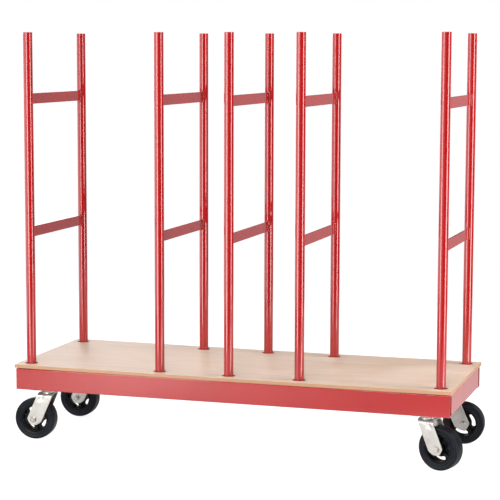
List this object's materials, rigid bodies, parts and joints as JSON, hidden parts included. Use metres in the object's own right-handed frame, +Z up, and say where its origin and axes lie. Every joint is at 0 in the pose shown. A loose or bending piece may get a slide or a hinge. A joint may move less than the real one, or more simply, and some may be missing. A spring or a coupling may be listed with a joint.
{
  "type": "parts cart",
  "caption": "Long plywood deck on a red channel-steel frame, with lift-out pipe uprights joined by flat rungs, rolling on swivel casters; stands panels and long parts upright in bays.",
  "frame": {"origin": "on the floor under the middle of the deck, in the plane that the tyres stand on", "axes": "+X along the deck's length, towards the end on the right in the picture; -Y towards the front, which is the long side nearest the camera; +Z up"},
  "size_m": [1.662, 0.578, 1.4788],
  "materials": {
    "red_paint": "glossy red enamel",
    "plywood": "sanded bare plywood",
    "zinc_plate": "bright zinc plate",
    "black_iron": "black painted casting",
    "black_rubber": "moulded rubber",
    "bearing_steel": "plain steel, oiled"
  },
  "bodies": {
    "cart_base": {"side_rail_front": "red_paint", "side_rail_rear": "red_paint", "end_rail_left": "red_paint", "end_rail_right": "red_paint", "socket_cross_bar_1": "red_paint", "socket_cross_bar_2": "red_paint", "socket_cross_bar_3": "red_paint", "socket_cross_bar_4": "red_paint", "socket_cross_bar_5": "red_paint", "caster_mount_plate_left": "red_paint", "caster_mount_plate_right": "red_paint", "deck_board": "plywood", "caster_front_left_top_plate": "zinc_plate", "caster_front_left_king_bolt": "zinc_plate", "caster_front_right_top_plate": "zinc_plate", "caster_front_right_king_bolt": "zinc_plate", "caster_rear_left_top_plate": "zinc_plate", "caster_rear_left_king_bolt": "zinc_plate", "caster_rear_right_top_plate": "zinc_plate", "caster_rear_right_king_bolt": "zinc_plate"},
    "upright_frame_1": {"frame_1_tube_front": "red_paint", "frame_1_tube_rear": "red_paint", "frame_1_rung_lower": "red_paint", "frame_1_rung_upper": "red_paint"},
    "upright_frame_2": {"frame_2_tube_front": "red_paint", "frame_2_tube_rear": "red_paint", "frame_2_rung_lower": "red_paint", "frame_2_rung_upper": "red_paint"},
    "upright_frame_3": {"frame_3_tube_front": "red_paint", "frame_3_tube_rear": "red_paint", "frame_3_rung_lower": "red_paint", "frame_3_rung_upper": "red_paint"},
    "upright_frame_4": {"frame_4_tube_front": "red_paint", "frame_4_tube_rear": "red_paint", "frame_4_rung_lower": "red_paint", "frame_4_rung_upper": "red_paint"},
    "upright_frame_5": {"frame_5_tube_front": "red_paint", "frame_5_tube_rear": "red_paint", "frame_5_rung_lower": "red_paint", "frame_5_rung_upper": "red_paint"},
    "front_left_swivel": {"caster_front_left_fork": "zinc_plate", "caster_front_left_axle_bolt": "zinc_plate"},
    "front_left_wheel": {"caster_front_left_bearing": "bearing_steel", "caster_front_left_core": "black_iron", "caster_front_left_tyre": "black_rubber"},
    "front_right_swivel": {"caster_front_right_fork": "zinc_plate", "caster_front_right_axle_bolt": "zinc_plate"},
    "front_right_wheel": {"caster_front_right_bearing": "bearing_steel", "caster_front_right_core": "black_iron", "caster_front_right_tyre": "black_rubber"},
    "rear_left_swivel": {"caster_rear_left_fork": "zinc_plate", "caster_rear_left_axle_bolt": "zinc_plate"},
    "rear_left_wheel": {"caster_rear_left_bearing": "bearing_steel", "caster_rear_left_core": "black_iron", "caster_rear_left_tyre": "black_rubber"},
    "rear_right_swivel": {"caster_rear_right_fork": "zinc_plate", "caster_rear_right_axle_bolt": "zinc_plate"},
    "rear_right_wheel": {"caster_rear_right_bearing": "bearing_steel", "caster_rear_right_core": "black_iron", "caster_rear_right_tyre": "black_rubber"}
  },
  "joints": [
    {"name": "frame_1_lift", "type": "slide", "parent": "cart_base", "child": "upright_frame_1", "axis": [0, 0, 1], "range_m": [0, 0.075]},
    {"name": "frame_2_lift", "type": "slide", "parent": "cart_base", "child": "upright_frame_2", "axis": [0, 0, 1], "range_m": [0, 0.075]},
    {"name": "frame_3_lift", "type": "slide", "parent": "cart_base", "child": "upright_frame_3", "axis": [0, 0, 1], "range_m": [0, 0.075]},
    {"name": "frame_4_lift", "type": "slide", "parent": "cart_base", "child": "upright_frame_4", "axis": [0, 0, 1], "range_m": [0, 0.075]},
    {"name": "frame_5_lift", "type": "slide", "parent": "cart_base", "child": "upright_frame_5", "axis": [0, 0, 1], "range_m": [0, 0.075]},
    {"name": "front_left_swivel_turn", "type": "hinge", "parent": "cart_base", "child": "front_left_swivel", "pos_m": [-0.704, -0.2, 0.1822], "axis": [0, 0, 1], "continuous": true},
    {"name": "front_right_swivel_turn", "type": "hinge", "parent": "cart_base", "child": "front_right_swivel", "pos_m": [0.704, -0.2, 0.1822], "axis": [0, 0, 1], "continuous": true},
    {"name": "rear_left_swivel_turn", "type": "hinge", "parent": "cart_base", "child": "rear_left_swivel", "pos_m": [-0.704, 0.2, 0.1822], "axis": [0, 0, 1], "continuous": true},
    {"name": "rear_right_swivel_turn", "type": "hinge", "parent": "cart_base", "child": "rear_right_swivel", "pos_m": [0.704, 0.2, 0.1822], "axis": [0, 0, 1], "continuous": true},
    {"name": "front_left_wheel_spin", "type": "hinge", "parent": "front_left_swivel", "child": "front_left_wheel", "pos_m": [-0.75388, -0.20349, 0.0762], "axis": [0.0698, -0.9976, 0], "continuous": true},
    {"name": "front_right_wheel_spin", "type": "hinge", "parent": "front_right_swivel", "child": "front_right_wheel", "pos_m": [0.75155, -0.21545, 0.0762], "axis": [0.309, 0.9511, 0], "continuous": true},
    {"name": "rear_left_wheel_spin", "type": "hinge", "parent": "rear_left_swivel", "child": "rear_left_wheel", "pos_m": [-0.754, 0.2, 0.0762], "axis": [0, -1, 0], "continuous": true},
    {"name": "rear_right_wheel_spin", "type": "hinge", "parent": "rear_right_swivel", "child": "rear_right_wheel", "pos_m": [0.75393, 0.20262, 0.0762], "axis": [-0.0523, 0.9986, 0], "continuous": true}
  ]
}
